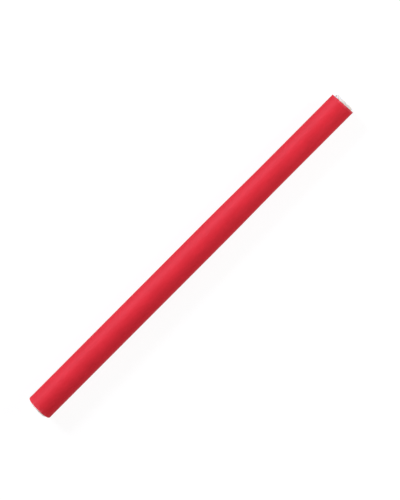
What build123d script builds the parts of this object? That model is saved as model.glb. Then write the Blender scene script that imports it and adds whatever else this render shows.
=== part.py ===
from build123d import *
import os

# A sleeved crayon lying on its side, along X. The writing end points to +X.
# The origin is on the surface that it lies on, under the middle of the whole crayon.

# Sleeve, outside
sleeve_length = 174.0
barrel_radius = 5.75  # rear part, all one size
neck_radius = 5.50  # front part, slimmer
neck_start = 0.58  # shares of the sleeve's length, counted from the rear
neck_end = 0.77

# Sleeve, wall
wrap_thickness = 0.30
rim_radius = 0.80  # rounding of the rear rim, over the wrap
turn_in_radius = 4.56  # how far the wrap is turned in over the rear end
liner_thickness = 0.12

# Wax stick
core_radius = 4.35
core_clearance = 0.05  # running fit in the liner
front_proud = 1.10
rear_proud = 0.60
core_edge = 0.30  # softened edge at both faces

# The sleeve is cut a little off square at the writing end, in degrees
sleeve_slant = 3.2

# Worked out
core_length = rear_proud + sleeve_length + front_proud
rear_x = -core_length / 2 + rear_proud
front_x = rear_x + sleeve_length
axis_height = barrel_radius
liner_bore = core_radius + core_clearance
board_bore = liner_bore + liner_thickness
cut_margin = 1.0  # spare length that the slanted cut takes off


def on_axis(solid):
    """Lifts a piece from the X axis to the height of the crayon's centre line."""
    return solid.moved(Location((0, 0, axis_height)))


def cut_front(solid):
    """Takes off everything ahead of the sleeve's slanted front plane, which crosses the centre line at front_x."""
    cutter_size = 4 * barrel_radius
    cutter = Box(cutter_size, cutter_size, cutter_size, align=(Align.MIN, Align.CENTER, Align.CENTER))
    return solid - cutter.moved(Location((front_x, 0, 0), (0, 0, sleeve_slant)))


def barrel_side(depth, end_x):
    """The barrel's side from the rear forwards: level, an S-shaped neck, level, all at this depth in the wall."""
    start_x = rear_x + neck_start * sleeve_length
    stop_x = rear_x + neck_end * sleeve_length
    thick = barrel_radius - depth
    slim = neck_radius - depth
    rear_run = Line((rear_x + rim_radius, thick), (start_x, thick))
    neck = Spline((start_x, thick), (stop_x, slim), tangents=[(1, 0), (1, 0)])
    front_run = Line((stop_x, slim), (end_x, slim))
    return [rear_run, neck, front_run]


def rim(depth):
    """The rounding of the rear rim at this depth in the wall, a quarter circle about one shared centre."""
    return CenterArc((rear_x + rim_radius, barrel_radius - rim_radius), rim_radius - depth, 90, 90)


def revolved(edges):
    """Turns a closed outline, drawn in the XY plane, about the X axis."""
    return revolve(make_face(Wire(edges)), Axis.X)


def red_wrap():
    """Coated paper round the board tube, turned in over the rear rim and cut at the front."""
    end_x = front_x + cut_margin
    outer = [rim(0), *barrel_side(0, end_x)]
    inner = [rim(wrap_thickness), *barrel_side(wrap_thickness, end_x)]
    rim_level = barrel_radius - rim_radius
    closing = [
        Line((end_x, neck_radius), (end_x, neck_radius - wrap_thickness)),
        Line((rear_x, rim_level), (rear_x, turn_in_radius)),
        Line((rear_x, turn_in_radius), (rear_x + wrap_thickness, turn_in_radius)),
        Line((rear_x + wrap_thickness, turn_in_radius), (rear_x + wrap_thickness, rim_level)),
    ]
    return on_axis(cut_front(revolved(outer + inner + closing)))


def board_tube():
    """Wound board, from the wrap's inside down to the liner."""
    end_x = front_x + cut_margin
    back_x = rear_x + wrap_thickness
    rim_level = barrel_radius - rim_radius
    outline = [
        rim(wrap_thickness),
        *barrel_side(wrap_thickness, end_x),
        Line((end_x, neck_radius - wrap_thickness), (end_x, board_bore)),
        Line((end_x, board_bore), (back_x, board_bore)),
        Line((back_x, board_bore), (back_x, rim_level)),
    ]
    return on_axis(cut_front(revolved(outline)))


def slip_liner():
    """One turn of waxed paper that lines the board tube from end to end."""
    length = sleeve_length + cut_margin
    along_x = Location((rear_x, 0, 0), (0, 90, 0))
    placed_low = (Align.CENTER, Align.CENTER, Align.MIN)
    tube = Cylinder(board_bore, length, align=placed_low) - Cylinder(liner_bore, length, align=placed_low)
    return on_axis(cut_front(tube.moved(along_x)))


def wax_core():
    """One moulded stick of wax, square at both ends, with softened edges."""
    along_x = Location((rear_x - rear_proud, 0, 0), (0, 90, 0))
    stick = Cylinder(core_radius, core_length, align=(Align.CENTER, Align.CENTER, Align.MIN)).moved(along_x)
    end_edges = stick.edges().filter_by(GeomType.CIRCLE)
    return on_axis(fillet(end_edges, core_edge))


os.makedirs("parts", exist_ok=True)
export_step(red_wrap(), "parts/red_wrap.step")
export_step(board_tube(), "parts/board_tube.step")
export_step(slip_liner(), "parts/slip_liner.step")
export_step(wax_core(), "parts/wax_core.step")
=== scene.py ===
import math
import bpy
import numpy as np
from mathutils import Matrix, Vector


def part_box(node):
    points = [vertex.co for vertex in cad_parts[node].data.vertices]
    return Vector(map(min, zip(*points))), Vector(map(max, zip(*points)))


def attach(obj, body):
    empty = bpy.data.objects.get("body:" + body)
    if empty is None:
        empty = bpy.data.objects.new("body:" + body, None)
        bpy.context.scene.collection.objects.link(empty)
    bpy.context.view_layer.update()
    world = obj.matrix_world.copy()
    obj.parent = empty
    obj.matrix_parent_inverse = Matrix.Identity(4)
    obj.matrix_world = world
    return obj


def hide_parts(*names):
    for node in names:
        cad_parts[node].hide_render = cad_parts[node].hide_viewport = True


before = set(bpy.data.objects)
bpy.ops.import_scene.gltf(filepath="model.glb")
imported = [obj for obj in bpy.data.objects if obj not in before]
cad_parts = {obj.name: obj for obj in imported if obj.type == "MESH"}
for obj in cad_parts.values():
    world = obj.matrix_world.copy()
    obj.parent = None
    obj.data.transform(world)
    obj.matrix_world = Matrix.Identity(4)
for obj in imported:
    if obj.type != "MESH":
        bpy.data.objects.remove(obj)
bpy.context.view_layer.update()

# --- Wax stick -------------------------------------------------------------------------------
# One poured stick of off-white wax that runs the whole length of the crayon and stands proud of
# the sleeve at both ends. Its rims are softened by handling, the front face shows the wire that
# cut it to length, and the rear face has the shallow sink left where the wax shrank as it set.

mm = 0.001  # in metres
core_low, core_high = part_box("wax_core")
core_rear = core_low.x
core_front = core_high.x
core_radius = (core_high.y - core_low.y) / 2
axis_z = (core_low.z + core_high.z) / 2  # height of the crayon's centre line
core_rim = 0.30 * mm  # rounding of both rims
side_dip = 0.012 * mm  # unevenness of the poured side
wire_pitch = 0.55 * mm  # from one mark of the cutting wire to the next
wire_depth = 0.012 * mm
sink_depth = 0.16 * mm
sink_reach = 1.5 * mm
outer_sink_reach = 3.2 * mm
outer_sink_share = 0.10

wax_white = (0.86, 0.835, 0.80)
wax_cloud = (0.80, 0.765, 0.725)
wax_drag = (0.75, 0.715, 0.67)
wax_speck = (0.64, 0.60, 0.54)
wax_handled = (0.74, 0.70, 0.645)


def quarter(start, stop, count):
    """Even steps along part of a circle, as angles in radians from angles in degrees."""
    return np.radians(np.linspace(start, stop, count))


def around(count):
    """One turn in even steps as one row, without the last angle that would repeat the first."""
    return np.arange(count)[None, :] * (2 * np.pi / count)


def soft_step(low, high, value):
    """0 below low, 1 above high, and 3t^2 - 2t^3 between, where t runs evenly from low to high."""
    t = np.clip((value - low) / (high - low), 0, 1)
    return t * t * (3 - 2 * t)


def waves(angle, along, seed, strands=9):
    """A seamless unevenness between -1 and 1: a sum of waves, each a sine of whole turns around times a
    sine along, in metres, with strengths, turns, lengths and phases drawn from the seed."""
    draw = np.random.default_rng(seed)
    total = np.zeros(np.broadcast(angle, along).shape)
    weights = draw.uniform(0.4, 1.0, strands)
    for weight in weights:
        turns = draw.integers(1, 6)
        length = draw.uniform(14, 70) * mm
        phase, shift = draw.uniform(0, 2 * np.pi, 2)
        total = total + weight * np.sin(turns * angle + phase) * np.sin(2 * np.pi * along / length + shift)
    return total / weights.sum()


def round_skin(name, x, radius, angle, closed_profile):
    """A closed surface: a profile carried round the crayon's centre line, one row for each of its points.
    A point lies at (x, radius times the angle's cosine, axis height plus radius times its sine). A closed
    profile joins its last row to its first. An open one has each end row drawn together to a pole."""
    rows, columns = x.shape
    points = np.stack([x, radius * np.cos(angle), axis_z + radius * np.sin(angle)], axis=-1)
    index = np.arange(rows * columns).reshape(rows, columns)
    lower = index if closed_profile else index[:-1]
    upper = np.roll(index, -1, axis=0) if closed_profile else index[1:]
    quads = np.stack([lower, np.roll(lower, -1, 1), np.roll(upper, -1, 1), upper], axis=-1).reshape(-1, 4)
    points = points.reshape(-1, 3)
    triangles = np.zeros((0, 3), int)
    if not closed_profile:
        poles = np.array([[x[0].mean(), 0, axis_z], [x[-1].mean(), 0, axis_z]])
        first, last = len(points), len(points) + 1
        points = np.vstack([points, poles])
        rear_fan = np.stack([np.full(columns, first), np.roll(index[0], -1), index[0]], axis=-1)
        front_fan = np.stack([np.full(columns, last), index[-1], np.roll(index[-1], -1)], axis=-1)
        triangles = np.vstack([rear_fan, front_fan])
    mesh = bpy.data.meshes.new(name)
    corners = np.concatenate([quads.ravel(), triangles.ravel()]).astype(np.int32)
    sizes = np.concatenate([np.full(len(quads), 4), np.full(len(triangles), 3)])
    starts = np.concatenate([[0], np.cumsum(sizes)[:-1]]).astype(np.int32)
    mesh.vertices.add(len(points))
    mesh.vertices.foreach_set("co", points.astype(np.float32).ravel())
    mesh.loops.add(len(corners))
    mesh.loops.foreach_set("vertex_index", corners)
    mesh.polygons.add(len(sizes))
    mesh.polygons.foreach_set("loop_start", starts)
    mesh.update(calc_edges=True)
    mesh.validate()
    mesh.polygons.foreach_set("use_smooth", np.ones(len(mesh.polygons), bool))
    mesh.update()
    piece = bpy.data.objects.new(name, mesh)
    bpy.context.scene.collection.objects.link(piece)
    return piece


def surface_value(piece, name, grid):
    """Stores one number for each point of a piece, for its material to read by name."""
    values = np.zeros(len(piece.data.vertices), np.float32)
    values[: grid.size] = grid.ravel()
    piece.data.attributes.new(name, "FLOAT", "POINT").data.foreach_set("value", values)


class Flow:
    """A value, colour or vector on its way through one material. Arithmetic on it adds the Math or
    Vector Math node that does it, and make() adds any other node."""

    def __init__(self, tree, socket=None):
        self.tree = tree
        self.socket = socket

    def make(self, kind, settings=None, sockets=None, out=0):
        """Adds a node of this kind, sets it up, feeds its sockets and gives the chosen output."""
        node = self.tree.nodes.new(kind)
        for key, value in (settings or {}).items():
            setattr(node, key, value)
        for key, value in (sockets or {}).items():
            if isinstance(value, Flow):
                self.tree.links.new(value.socket, node.inputs[key])
            else:
                node.inputs[key].default_value = value
        return Flow(self.tree, node.outputs[out])

    def reckon(self, operation, first, second):
        """first and second put through one Math node, or a Vector Math node if this is a vector."""
        if self.socket.type == "VECTOR":
            spread = [v if isinstance(v, (Flow, tuple)) else (v, v, v) for v in (first, second)]
            return self.make("ShaderNodeVectorMath", {"operation": operation}, dict(enumerate(spread)))
        return self.make("ShaderNodeMath", {"operation": operation}, {0: first, 1: second})

    def __add__(self, other):
        return self.reckon("ADD", self, other)

    def __radd__(self, other):
        return self.reckon("ADD", other, self)

    def __sub__(self, other):
        return self.reckon("SUBTRACT", self, other)

    def __rsub__(self, other):
        return self.reckon("SUBTRACT", other, self)

    def __mul__(self, other):
        return self.reckon("MULTIPLY", self, other)

    def __rmul__(self, other):
        return self.reckon("MULTIPLY", other, self)

    def between(self, low, high):
        """0 at low, 1 at high, smooth between and level beyond."""
        return self.make(
            "ShaderNodeMapRange",
            {"interpolation_type": "SMOOTHSTEP"},
            {"Value": self, "From Min": low, "From Max": high},
        )

    def mix(self, first, second):
        """A colour that goes from first to second as this value goes from 0 to 1."""
        mixed = self.make("ShaderNodeMix", {"data_type": "RGBA"}, {0: self})
        node = mixed.socket.node
        for key, colour in ((6, first), (7, second)):
            if isinstance(colour, Flow):
                self.tree.links.new(colour.socket, node.inputs[key])
            else:
                node.inputs[key].default_value = (*colour, 1.0)
        return Flow(self.tree, node.outputs[2])


def new_finish(name, **constants):
    """A material with one Principled shader. Gives the material, the start of its flows and the shader."""
    material = bpy.data.materials.new(name)
    material.use_nodes = True
    shader = material.node_tree.nodes["Principled BSDF"]
    for key, value in constants.items():
        shader.inputs[key.replace("_", " ")].default_value = value
    return material, Flow(material.node_tree), shader


def wear_finish(flow, shader, colour, roughness, height, depth):
    """Feeds a shader its colour, its roughness and a bump, this deep in metres where height is 1."""
    flow.tree.links.new(colour.socket, shader.inputs["Base Color"])
    flow.tree.links.new(roughness.socket, shader.inputs["Roughness"])
    bump = flow.make("ShaderNodeBump", None, {"Strength": 1.0, "Distance": depth, "Height": height})
    flow.tree.links.new(bump.socket, shader.inputs["Normal"])


def grain(flow, place, size, detail=4.0, roughness=0.55, stretch=(1, 1, 1)):
    """Cloudy noise whose lumps are about this size, in metres, drawn out along an axis by stretch."""
    placed = place * tuple(1 / (size * s) for s in stretch)
    sockets = {"Vector": placed, "Scale": 1.0, "Detail": detail, "Roughness": roughness}
    return flow.make("ShaderNodeTexNoise", None, sockets)


def wax_finish():
    """Off-white wax: cloudy, faintly yellower where it is thick with oil, with fine drag lines along it."""
    material, flow, shader = new_finish(
        "poured_wax",
        IOR=1.44,
        Subsurface_Weight=1.0,
        Subsurface_Radius=(1.0, 0.90, 0.80),
        Subsurface_Scale=0.0035,
        Coat_Weight=0.05,
        Coat_Roughness=0.35,
    )
    place = flow.make("ShaderNodeTexCoord", None, None, "Object")
    clouds = grain(flow, place, 5 * mm, 5.0)
    drag = grain(flow, place, 0.35 * mm, 3.0, 0.6, (14, 1, 1))
    specks = grain(flow, place, 0.30 * mm, 2.0)
    rubbed = flow.make("ShaderNodeAttribute", {"attribute_name": "rubbed"}, None, "Fac")
    wax = clouds.between(0.35, 0.65).mix(wax_cloud, wax_white)
    wax = (drag.between(0.50, 0.75) * 0.35).mix(wax, wax_drag)
    wax = (specks.between(0.66, 0.74) * 0.30).mix(wax, wax_speck)
    wax = (rubbed * (0.25 + 0.5 * clouds)).mix(wax, wax_handled)
    roughness = 0.48 + 0.16 * drag + 0.08 * clouds
    wear_finish(flow, shader, wax, roughness, 0.7 * drag + 0.3 * specks, 0.02 * mm)
    return material


def wax_core():
    """The stick's profile goes out along the rear face, round its rim, along the side, round the front rim
    and in along the front face. The side dips by its waves. The front face is pressed in by a sine across
    the slightly bowed lines of the wire, the rear face by two bell curves about its middle."""
    angle = around(144)
    face = np.linspace(0.04, 1, 15)[:-1] * (core_radius - core_rim)
    bend = quarter(0, 90, 7)
    side_x = np.linspace(core_rear + core_rim, core_front - core_rim, 120)[1:-1]
    rim = core_radius - core_rim + core_rim * np.sin(bend)
    x = np.concatenate([
        np.full(len(face), core_rear),
        core_rear + core_rim * (1 - np.cos(bend)),
        side_x,
        core_front - core_rim * (1 - np.sin(bend)),
        np.full(len(face), core_front),
    ])[:, None]
    side = np.full(len(side_x), core_radius)
    radius = np.concatenate([face, rim, side, rim[::-1], face[::-1]])[:, None]
    from_side = soft_step(0.85 * core_radius, core_radius, radius)
    radius = radius - from_side * side_dip * (1 + waves(angle, x, 3))
    radius = np.broadcast_to(radius, (len(x), angle.size))
    across = radius * np.cos(angle)
    upward = radius * np.sin(angle)
    at_front = soft_step(core_front - 8 * mm, core_front - core_rim, x)
    at_rear = soft_step(core_rear + 2 * mm, core_rear, x)
    on_face = soft_step(core_radius, 0.93 * core_radius, radius)
    bowed = upward + 0.25 * across**2 / core_radius
    wire_marks = 0.5 + 0.5 * np.sin(2 * np.pi * bowed / wire_pitch)
    sink = np.exp(-((radius / sink_reach) ** 2))
    sink = sink + outer_sink_share * np.exp(-((radius / outer_sink_reach) ** 2))
    x = x - at_front * on_face * wire_depth * wire_marks
    x = x + at_rear * on_face * sink_depth * sink
    piece = round_skin("wax_stick", x, radius, np.broadcast_to(angle, radius.shape), False)
    surface_value(piece, "rubbed", np.clip(from_side * (at_front + at_rear), 0, 1) * np.ones(radius.shape))
    piece.data.materials.append(wax_finish())
    return piece


wax_stick = wax_core()
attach(wax_stick, "core")
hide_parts("wax_core")

# --- Slip liner ------------------------------------------------------------------------------
# A single turn of thin waxed paper inside the board tube. It lets the wax stick be pushed along
# and keeps the wax off the board. Its long edges overlap by a few millimetres on one side.

liner_low, liner_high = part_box("slip_liner")
liner_outer = (liner_high.y - liner_low.y) / 2
liner_wall = 0.12 * mm
liner_edge = 0.03 * mm
liner_lap = 0.6  # where the overlap is, radians up from level on the +Y side
liner_lap_reach = 0.35
liner_lap_step = 0.02 * mm
liner_fray = 0.02 * mm
sleeve_slant = math.tan(math.radians(3.2))  # how far the front cut leans for each unit across
sleeve_rear = liner_low.x
sleeve_front = liner_high.x - liner_outer * sleeve_slant  # the front cut on the centre line

paper_cream = (0.80, 0.76, 0.66)
paper_soaked = (0.72, 0.66, 0.54)
paper_fibre = (0.60, 0.54, 0.43)


def gap_to(angle, middle):
    """How far an angle is from a middle one by the shorter way round, never negative."""
    return np.abs((angle - middle + np.pi) % (2 * np.pi) - np.pi)


def tube_profile(x_rear, x_front, outer, inner, edge, rear_round, long_rows, wall_rows):
    """A tube's wall as a closed profile: forward along the outside, in across the front edge, back along
    the bore and out across the rear edge. The outside's radius is a function of x. Each corner is a quarter
    circle of radius edge, and the outer rear one of radius rear_round."""
    bend = quarter(0, 90, 4)
    rear_bend = quarter(0, 90, 9)
    run = np.linspace(x_rear + rear_round, x_front - edge, long_rows)
    bore_run = np.linspace(x_front - edge, x_rear + edge, long_rows)[1:-1]
    across_front = np.linspace(outer(x_front) - edge, inner + edge, wall_rows)[1:-1]
    across_rear = np.linspace(inner + edge, outer(x_rear) - rear_round, wall_rows)[1:-1]
    x = np.concatenate([
        run[:-1],
        x_front - edge * (1 - np.sin(bend)),
        np.full(len(across_front), x_front),
        x_front - edge * (1 - np.cos(bend)),
        bore_run,
        x_rear + edge * (1 - np.sin(bend)),
        np.full(len(across_rear), x_rear),
        x_rear + rear_round * (1 - np.cos(rear_bend[:-1])),
    ])
    radius = np.concatenate([
        outer(run[:-1]),
        outer(x_front) - edge * (1 - np.cos(bend)),
        across_front,
        inner + edge * (1 - np.sin(bend)),
        np.full(long_rows - 2, inner),
        inner + edge * (1 - np.cos(bend)),
        across_rear,
        outer(x_rear) - rear_round * (1 - np.sin(rear_bend[:-1])),
    ])
    return x[:, None], radius[:, None]


def slant_front(x, radius, angle):
    """Slides points near the sleeve's front end back by their distance across, times the slant, so that the
    end leans off square."""
    near_front = soft_step(sleeve_front - 8 * mm, sleeve_front - 0.5 * mm, x)
    return x - near_front * radius * np.cos(angle) * sleeve_slant


def waxed_paper_finish():
    """Thin cream paper soaked with wax: a little shiny, blotchy where the wax has soaked in unevenly."""
    material, flow, shader = new_finish("waxed_paper", IOR=1.45, Coat_Weight=0.15, Coat_Roughness=0.25)
    place = flow.make("ShaderNodeTexCoord", None, None, "Object")
    blotches = grain(flow, place, 3 * mm, 4.0)
    fibres = grain(flow, place, 0.12 * mm, 4.0, 0.6, (5, 1, 1))
    paper = blotches.between(0.4, 0.6).mix(paper_cream, paper_soaked)
    paper = (fibres.between(0.45, 0.7) * 0.4).mix(paper, paper_fibre)
    wear_finish(flow, shader, paper, 0.32 + 0.2 * fibres, 0.8 * fibres + 0.2 * blotches, 0.012 * mm)
    return material


def slip_liner():
    """The liner's wall. Away from the overlap its outside is lower by a step. Its front edge is ragged by
    the product of a fine and a coarse sine of the angle."""
    angle = around(144)
    x, radius = tube_profile(
        sleeve_rear,
        sleeve_front,
        outer=lambda at: liner_outer + 0 * at,
        inner=liner_outer - liner_wall,
        edge=liner_edge,
        rear_round=liner_edge,
        long_rows=90,
        wall_rows=4,
    )
    outside = soft_step(liner_outer - liner_wall, liner_outer, radius)
    off_lap = 1 - soft_step(liner_lap_reach, 0.0, gap_to(angle, liner_lap))
    radius = radius - outside * off_lap * liner_lap_step
    ragged = liner_fray * (1 + np.sin(17 * angle) * np.sin(5 * angle + 1))
    x = x - soft_step(sleeve_front - 1 * mm, sleeve_front, x) * ragged
    x = slant_front(x, radius, angle)
    piece = round_skin("slip_liner_paper", x, radius, np.broadcast_to(angle, x.shape), True)
    piece.data.materials.append(waxed_paper_finish())
    return piece


liner_paper = slip_liner()
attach(liner_paper, "sleeve")
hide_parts("slip_liner")

# --- Board tube ------------------------------------------------------------------------------
# A stiff tube of thin grey-buff board, wound in a spiral of glued plies and sawn to length. It
# gives the sleeve its thickness. The plies show as fine rings on the cut front edge.

board_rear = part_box("board_tube")[0].x
board_bore = liner_outer
board_ply = 0.155 * mm
board_edge = 0.04 * mm
board_inset = 0.004 * mm  # keeps the board's outside clear of the wrap
groove_depth = 0.035 * mm
saw_fray = 0.03 * mm
wrap_low, wrap_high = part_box("red_wrap")
barrel_radius = (wrap_high.y - wrap_low.y) / 2
neck_radius = 5.50 * mm
neck_start = sleeve_rear + 0.58 * (sleeve_front - sleeve_rear)
neck_end = sleeve_rear + 0.77 * (sleeve_front - sleeve_rear)
wrap_wall = 0.30 * mm
rim_radius = 0.80 * mm  # rounding of the rear rim, over the wrap

board_shade = (0.48, 0.42, 0.34)
board_buff = (0.66, 0.60, 0.51)
board_fleck = (0.34, 0.31, 0.29)
board_glue = (0.33, 0.25, 0.17)


def barrel_at(x):
    """The sleeve's outside radius at x: full at the rear, then a soft step down to the slimmer front."""
    return barrel_radius - (barrel_radius - neck_radius) * soft_step(neck_start, neck_end, x)


def board_finish():
    """Raw wound board: buff with flecks of recycled fibre, and dark glue lines between the cut plies."""
    material, flow, shader = new_finish("wound_board", IOR=1.4)
    place = flow.make("ShaderNodeTexCoord", None, None, "Object")
    fibres = grain(flow, place, 0.16 * mm, 5.0, 0.6, (2.5, 1, 1))
    flecks = grain(flow, place, 0.5 * mm, 3.0)
    glue = flow.make("ShaderNodeAttribute", {"attribute_name": "glue_line"}, None, "Fac")
    board = fibres.between(0.35, 0.65).mix(board_shade, board_buff)
    board = (flecks.between(0.60, 0.70) * 0.6).mix(board, board_fleck)
    board = (glue * 0.7).mix(board, board_glue)
    wear_finish(flow, shader, board, 0.82 + 0.12 * fibres, fibres - 0.5 * glue, 0.03 * mm)
    return material


def board_tube():
    """The board's wall. A glue line lies where the depth in plies plus the share of a turn is a whole
    number, so it winds by one ply a turn. The front cut is grooved along it and roughened by waves."""
    angle = around(216)
    x, radius = tube_profile(
        board_rear,
        sleeve_front,
        outer=lambda at: barrel_at(at) - wrap_wall,
        inner=board_bore,
        edge=board_edge,
        rear_round=rim_radius - wrap_wall,
        long_rows=110,
        wall_rows=30,
    )
    plies = (radius - board_bore) / board_ply + angle / (2 * np.pi)
    from_line = np.abs((plies + 0.5) % 1 - 0.5)
    glue_line = soft_step(0.22, 0.0, from_line) * np.ones(x.shape)
    cut_face = soft_step(sleeve_front - 0.05 * mm, sleeve_front, x)
    fray = saw_fray * (1 + waves(7 * angle, radius * 40, 11))
    x = x - cut_face * (groove_depth * glue_line + fray)
    x = slant_front(x, radius, angle)
    radius = radius * np.ones(x.shape) - board_inset
    piece = round_skin("board_tube_wound", x, radius, np.broadcast_to(angle, x.shape), True)
    surface_value(piece, "glue_line", glue_line * cut_face)
    piece.data.materials.append(board_finish())
    return piece


board_wound = board_tube()
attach(board_wound, "sleeve")
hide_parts("board_tube")

# --- Red wrap --------------------------------------------------------------------------------
# Matte coated red paper rolled once round the board tube and glued, with a narrow overlap low on
# the far side. At the rear it is pressed over the rounded rim and tucked in, which gathers it in
# small pleats; at the front it is cut off with the tube. Edges that rub show a paler red.

tuck_radius = 4.56 * mm  # how far in the paper is turned over the rear end
wrap_edge = 0.04 * mm
lap_angle = -0.60  # where the overlap's middle is, radians up from level on the +Y side
lap_width = 0.62
lap_step = 0.030 * mm
barrel_dip = 0.006 * mm  # unevenness along the barrel
pleat_count = 30
pleat_depth = 0.06 * mm  # on the rear end
rim_pleat_depth = 0.03 * mm

red_deep = (0.72, 0.0075, 0.0195)
red_clear = (0.76, 0.0090, 0.0225)
red_fibre = (0.84, 0.0180, 0.0340)
red_pore = (0.60, 0.0050, 0.0140)
red_worn = (0.86, 0.16, 0.20)
red_scuffed = (0.88, 0.10, 0.14)


def wrap_finish():
    """Matte red coated paper: faint clouding, fine fibres and pores under the coat, paler where it rubs."""
    material, flow, shader = new_finish(
        "red_coated_paper",
        IOR=1.48,
        Specular_Tint=(0.84, 0.84, 1.0, 1.0),
        Sheen_Weight=0.08,
        Sheen_Roughness=0.4,
        Sheen_Tint=(1.0, 0.80, 0.90, 1.0),
    )
    place = flow.make("ShaderNodeTexCoord", None, None, "Object")
    clouds = grain(flow, place, 9 * mm, 3.0)
    fibres = grain(flow, place, 0.22 * mm, 5.0, 0.62, (3, 1, 1))
    tooth = grain(flow, place, 0.07 * mm, 2.0)
    scuffs = grain(flow, place, 1.1 * mm, 4.0, 0.7, (6, 1, 1))
    rubbed = flow.make("ShaderNodeAttribute", {"attribute_name": "rubbed"}, None, "Fac")
    red = clouds.between(0.3, 0.7).mix(red_deep, red_clear)
    red = (fibres.between(0.42, 0.62) * 0.22).mix(red, red_fibre)
    red = (tooth.between(0.50, 0.34) * 0.30).mix(red, red_pore)
    worn = rubbed * (0.25 + 0.75 * scuffs.between(0.45, 0.6))
    red = (worn * 0.55).mix(red, red_worn)
    red = (scuffs.between(0.62, 0.76) * 0.14).mix(red, red_scuffed)
    roughness = 0.60 + 0.10 * fibres - 0.06 * worn
    wear_finish(flow, shader, red, roughness, 0.6 * fibres + 0.4 * tooth, 0.075 * mm)
    return material


def wrap_profile():
    """The wrap's wall as a closed profile: from the tucked edge out over the rear rim, forward along the
    side, in across the front cut, back along the inside and round under the rim to the tucked edge."""
    edge = wrap_edge
    bend = quarter(0, 90, 14)
    end_bend = quarter(0, 90, 4)
    rim_x = sleeve_rear + rim_radius
    rim_level = barrel_radius - rim_radius
    tuck = np.linspace(tuck_radius, rim_level, 7)[:-1]
    run = np.linspace(rim_x, sleeve_front - edge, 150)[1:]
    inner_run = np.linspace(sleeve_front - edge, rim_x, 60)[1:]
    inner_rim = rim_radius - wrap_wall
    x = np.concatenate([
        np.full(len(tuck), sleeve_rear),
        rim_x - rim_radius * np.cos(bend),
        run[:-1],
        sleeve_front - edge * (1 - np.sin(end_bend)),
        sleeve_front - edge * (1 - np.cos(end_bend)),
        inner_run[:-1],
        rim_x - inner_rim * np.sin(bend),
        np.full(len(tuck), sleeve_rear + wrap_wall),
    ])
    radius = np.concatenate([
        tuck,
        rim_level + rim_radius * np.sin(bend),
        barrel_at(run[:-1]),
        neck_radius - edge * (1 - np.cos(end_bend)),
        neck_radius - wrap_wall + edge * (1 - np.sin(end_bend)),
        barrel_at(inner_run[:-1]) - wrap_wall,
        rim_level + inner_rim * np.cos(bend),
        tuck[::-1],
    ])
    return x[:, None], radius[:, None]


def red_wrap():
    """The wrap. Away from the overlap its outside is lower by a step, and everywhere it dips by its waves.
    Round the rear rim each pleat rises with the square of its fold's share, then falls back sharply."""
    angle = around(360)
    x, radius = wrap_profile()
    turned_in = soft_step(sleeve_rear + 2.2 * mm, sleeve_rear + 0.2 * mm, x)
    depth = barrel_at(x) - radius
    outside = np.where(x > sleeve_rear + rim_radius, depth < wrap_wall / 2, depth < wrap_wall) * 1.0
    lap_from = gap_to(angle, lap_angle)
    over_lap = soft_step(lap_width / 2 + 0.02, lap_width / 2, lap_from)
    along = (1 - turned_in) * outside
    dip = lap_step * (1 - over_lap) + barrel_dip * (1 + waves(angle, x, 5))
    radius = radius - along * dip
    uneven_angle = angle - 0.3 * np.sin(3 * angle) / pleat_count * 4
    fold = (uneven_angle * pleat_count / (2 * np.pi)) % 1
    pleat = fold**2 * soft_step(1.0, 0.88, fold)
    end_face = soft_step(sleeve_rear + 0.5 * mm, sleeve_rear, x) * (depth > 0)
    radius = radius - turned_in * outside * rim_pleat_depth * pleat
    x = x + end_face * pleat_depth * pleat
    x = slant_front(x, radius, angle)
    piece = round_skin("red_wrap_paper", x, radius, np.broadcast_to(angle, x.shape), True)
    near_front = soft_step(sleeve_front - 0.5 * mm, sleeve_front - 0.02 * mm, x)
    lap_edge = soft_step(0.03, 0.0, np.abs(lap_from - lap_width / 2 - 0.01)) * outside
    rubbed = np.clip(0.35 * turned_in * outside + near_front + 0.5 * lap_edge, 0, 1)
    surface_value(piece, "rubbed", rubbed * np.ones(x.shape))
    piece.data.materials.append(wrap_finish())
    return piece


wrap_paper = red_wrap()
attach(wrap_paper, "sleeve")
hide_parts("red_wrap")

# --- Studio ----------------------------------------------------------------------------------
# The crayon lies on a plain white sheet. One soft light stands on its far side, one beyond its
# writing end and a low one behind its rear end; the room around is pale. The camera hangs well
# above the writing end and is turned so that the crayon rises from lower left to upper right.

flat_reach = 3.0
sheet_curve = 1.2
sheet_wall = 2.5
key_rise = math.radians(29.5)
key_away = 0.75
camera_height = 1.2
camera_lens = 214.95
camera_turn = math.radians(45.16)
aim = np.array([4.50 * mm, -0.90 * mm, axis_z])
middle = (0.0, 0.0, axis_z)
plain_white = (1.0, 1.0, 1.0)


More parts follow.
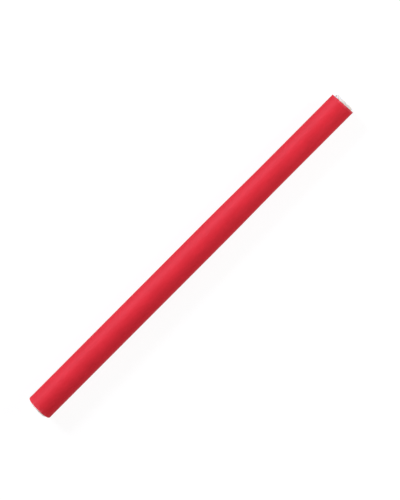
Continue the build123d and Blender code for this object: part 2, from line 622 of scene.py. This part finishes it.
def white_sheet():
    """A round white sheet. Its profile runs out flat under the crayon, then up a quarter circle into a
    wall, and is carried round the upright axis."""
    turn = around(96)
    bend = quarter(0, 90, 13)
    reach = [[0.02, 1.0], flat_reach + sheet_curve * np.sin(bend), [flat_reach + sheet_curve]]
    reach = np.concatenate(reach)[:, None]
    height = [[0.0, 0.0], sheet_curve * (1 - np.cos(bend)), [sheet_curve + sheet_wall]]
    height = np.concatenate(height)[:, None]
    rows, columns = len(reach), turn.size
    points = np.stack(np.broadcast_arrays(reach * np.cos(turn), reach * np.sin(turn), height), axis=-1)
    index = np.arange(rows * columns).reshape(rows, columns)
    inner, outer = index[:-1], index[1:]
    faces = np.stack([inner, outer, np.roll(outer, -1, 1), np.roll(inner, -1, 1)], axis=-1)
    centre_face = index[0].tolist()
    mesh = bpy.data.meshes.new("floor")
    mesh.from_pydata(points.reshape(-1, 3).tolist(), [], [*faces.reshape(-1, 4).tolist(), centre_face])
    floor = bpy.data.objects.new("floor", mesh)
    bpy.context.scene.collection.objects.link(floor)
    material, *_ = new_finish(
        "white_sheet",
        Roughness=0.9,
        Base_Color=(0.2, 0.2, 0.2, 1.0),
        Emission_Color=(1.0, 1.0, 1.0, 1.0),
        Emission_Strength=0.86,
    )
    mesh.materials.append(material)
    floor.visible_diffuse = False
    floor.visible_glossy = False
    return floor


def soft_light(name, place, towards, size, power, colour):
    """A square soft box, in metres and watts, turned to face a point and hidden from the camera."""
    lamp = bpy.data.lights.new(name, "AREA")
    lamp.size = size
    lamp.energy = power
    lamp.color = colour
    stand = bpy.data.objects.new(name, lamp)
    bpy.context.scene.collection.objects.link(stand)
    stand.location = place
    aim_line = np.array(towards) - np.array(place)
    stand.rotation_euler = (
        math.acos(-aim_line[2] / np.linalg.norm(aim_line)),
        0.0,
        math.atan2(aim_line[0], -aim_line[1]) + math.pi,
    )
    stand.visible_camera = False


white_sheet()
key_place = (0.0, key_away * math.cos(key_rise), axis_z + key_away * math.sin(key_rise))
soft_light("key_light", key_place, middle, size=0.38, power=6.15, colour=(0.90, 0.90, 1.0))
soft_light("fill_light", (0.80, -0.52, 0.55), middle, size=0.40, power=9.3, colour=plain_white)
rear_end = (sleeve_rear, 0.0, axis_z)
soft_light("rear_light", (-0.90, 0.0, 0.08), rear_end, size=0.14, power=5.0, colour=plain_white)

room = bpy.data.worlds.new("room")
room.use_nodes = True
air = Flow(room.node_tree)
direction = air.make("ShaderNodeTexCoord", None, None, "Generated")
upness = air.make("ShaderNodeSeparateXYZ", None, {0: direction}, "Z")
below_glow = (0.34, 0.34, 0.34)
above_glow = (0.08, 0.08, 0.08)
glow = upness.between(-0.30, 0.05).mix(below_glow, above_glow)
air.tree.links.new(glow.socket, room.node_tree.nodes["Background"].inputs["Color"])
bpy.context.scene.world = room
bpy.context.scene.view_settings.view_transform = "Standard"

lens = bpy.data.cameras.new("camera")
lens.lens = camera_lens
lens.clip_start = 0.01
camera = bpy.data.objects.new("camera", lens)
bpy.context.scene.collection.objects.link(camera)
eye = np.array([sleeve_front, 0.0, axis_z + camera_height])
back = eye - aim
back /= np.linalg.norm(back)
right = np.cross([math.sin(camera_turn), math.cos(camera_turn), 0.0], back)
right /= np.linalg.norm(right)
above = np.cross(back, right)
placing = np.eye(4)
placing[:3] = np.stack([right, above, back, eye], axis=1)
camera.matrix_world = Matrix(placing.tolist())
bpy.context.scene.camera = camera
